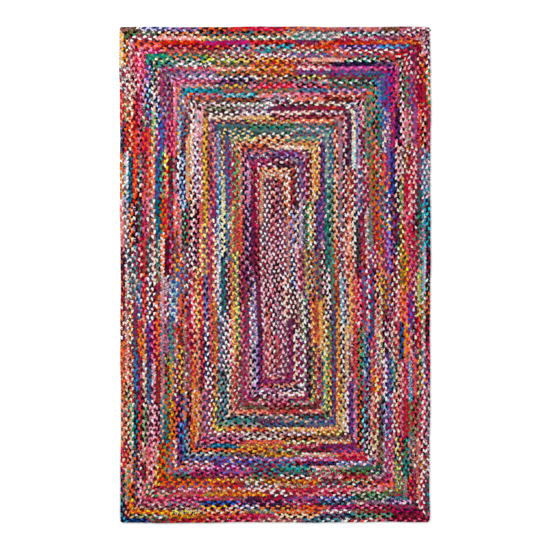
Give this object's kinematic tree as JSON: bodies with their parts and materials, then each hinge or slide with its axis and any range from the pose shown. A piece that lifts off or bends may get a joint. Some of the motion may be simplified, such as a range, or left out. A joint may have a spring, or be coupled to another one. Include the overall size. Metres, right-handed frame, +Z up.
{
  "type": "braided rug",
  "caption": "Flat rectangular rug of braided cloth strips, wound square round a straight centre row and laced edge to edge.",
  "frame": {"origin": "middle of the rug's underside, on the floor", "axes": "+Y along the rug's length, +X across its width, +Z up out of its upper face"},
  "size_m": [1.524, 2.438, 0.009],
  "materials": {
    "braided_cloth": "matt cotton strips of many colours"
  },
  "bodies": {
    "root": {"braided_rug": "braided_cloth"}
  },
  "joints": []
}
